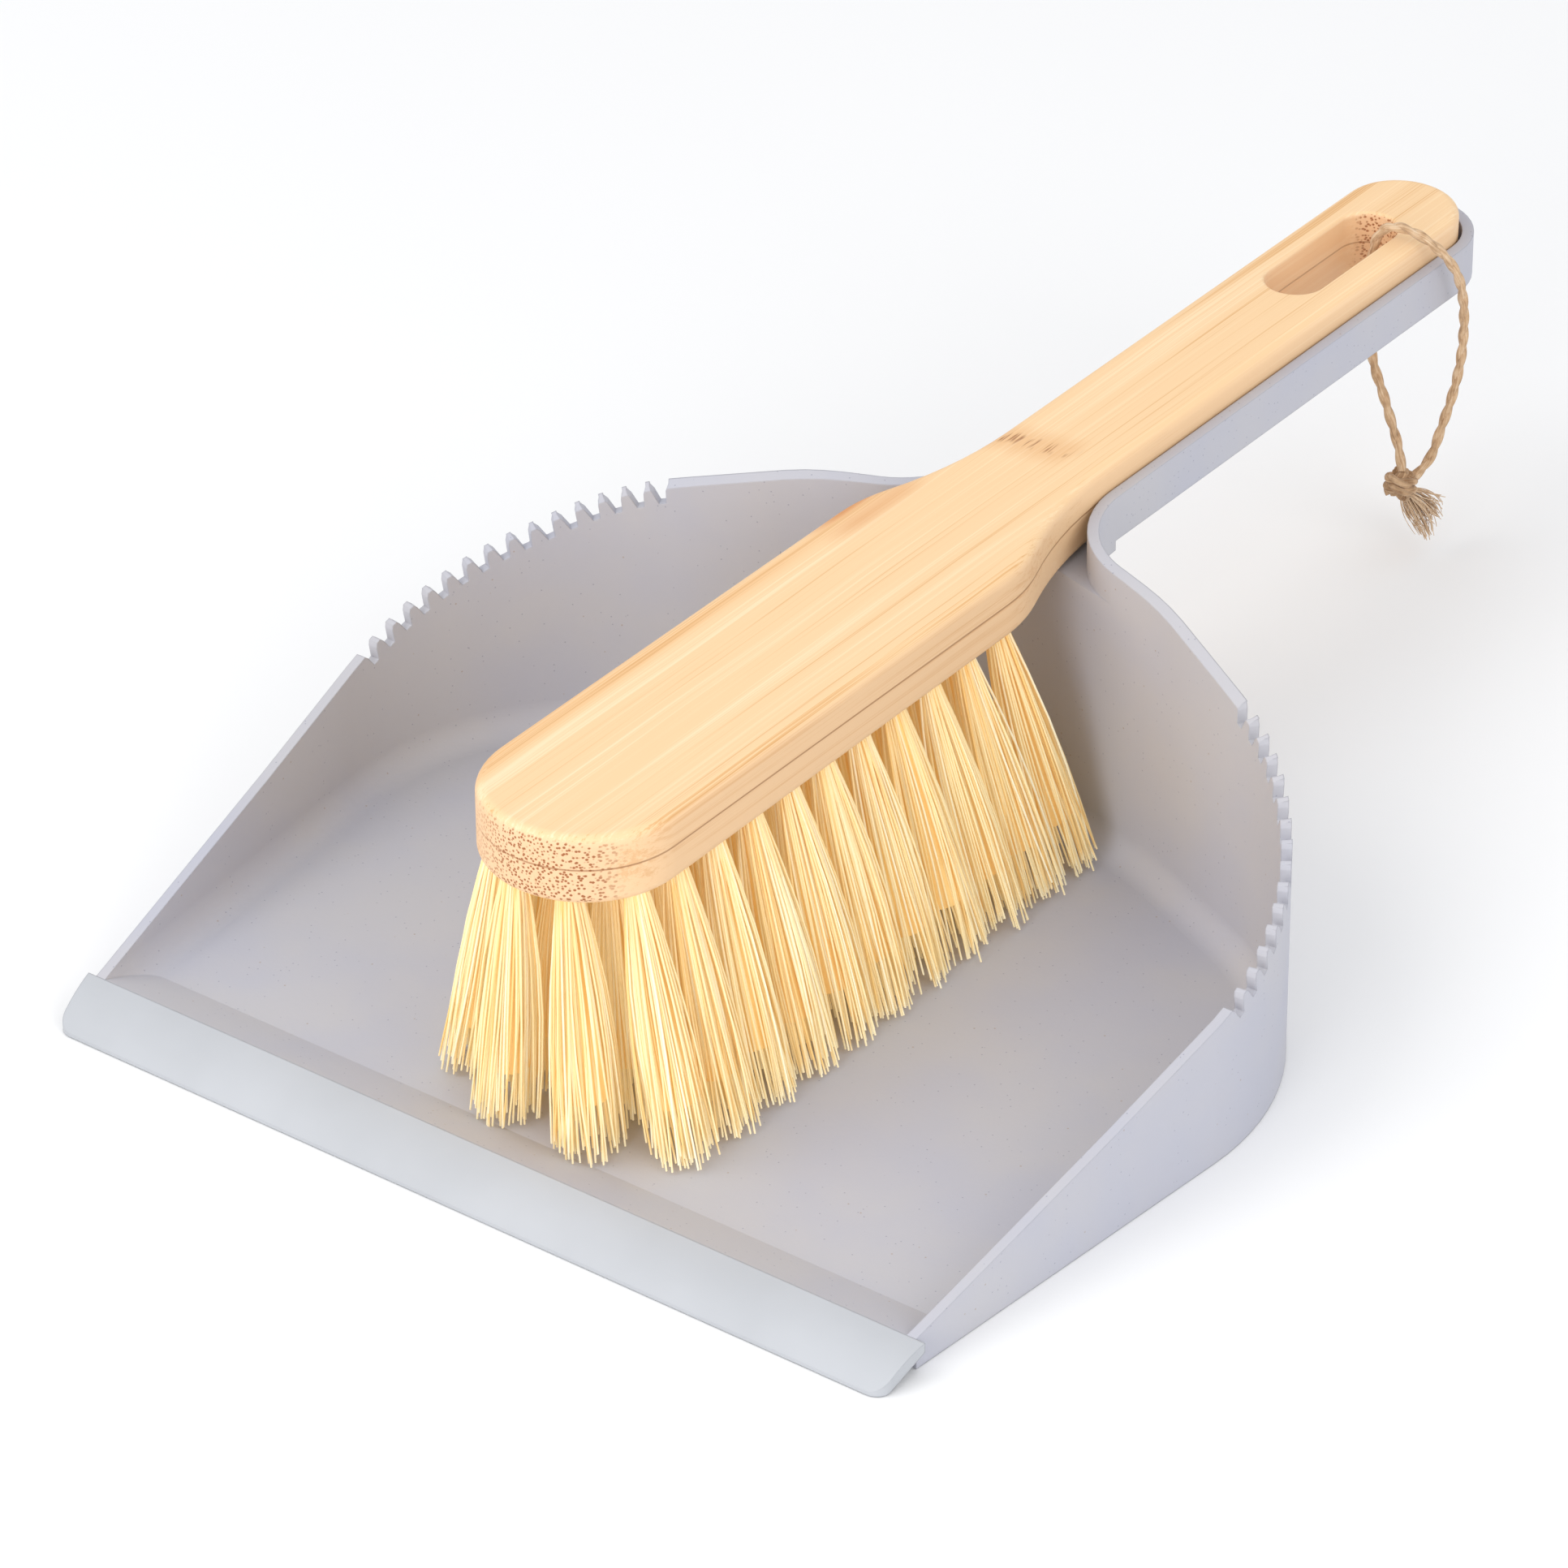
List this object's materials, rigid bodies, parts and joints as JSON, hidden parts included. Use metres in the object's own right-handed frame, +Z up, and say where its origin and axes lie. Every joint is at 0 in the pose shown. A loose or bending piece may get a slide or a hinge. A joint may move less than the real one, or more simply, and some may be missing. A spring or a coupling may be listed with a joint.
{
  "type": "dustpan and brush",
  "caption": "Hand dustpan with a soft lip, a comb along its rear rim and an open loop handle that holds a bamboo hand brush with stiff bristles, tied on with a jute cord.",
  "frame": {"origin": "on the floor under the middle of the pan and its handle: centre of the bounding box in plan, at its bottom", "axes": "+X to the right across the pan, +Y from the lip towards the handle, +Z up from the floor"},
  "size_m": [0.2354, 0.3684, 0.0878],
  "materials": {
    "pan_plastic": "matte grey moulding with very fine darker specks",
    "lip_rubber": "smooth soft grey rubber, slightly bluish",
    "bamboo": "sanded laminated bamboo, fine lengthwise grain, light oil",
    "bristle": "stiff straw-coloured fibre bristles",
    "anchor_wire": "plain flat steel wire",
    "jute": "two-ply twisted jute"
  },
  "bodies": {
    "pan": {"dustpan": "pan_plastic", "soft_lip": "lip_rubber"},
    "brush": {"upper_board": "bamboo", "lower_board": "bamboo", "front_tufts": "bristle", "tuft_rank_01": "bristle", "tuft_rank_02": "bristle", "tuft_rank_03": "bristle", "tuft_rank_04": "bristle", "tuft_rank_05": "bristle", "tuft_rank_06": "bristle", "tuft_rank_07": "bristle", "tuft_rank_08": "bristle", "tuft_rank_09": "bristle", "tuft_rank_10": "bristle", "tuft_rank_11": "bristle", "tuft_anchors": "anchor_wire", "cord_outer_leg": "jute", "cord_inner_leg": "jute", "cord_knot": "jute", "cord_tail_a": "jute", "cord_tail_b": "jute"}
  },
  "joints": [
    {"name": "brush_lift", "type": "slide", "parent": "pan", "child": "brush", "axis": [0, 0, 1], "range_m": [0, 0.03]}
  ]
}
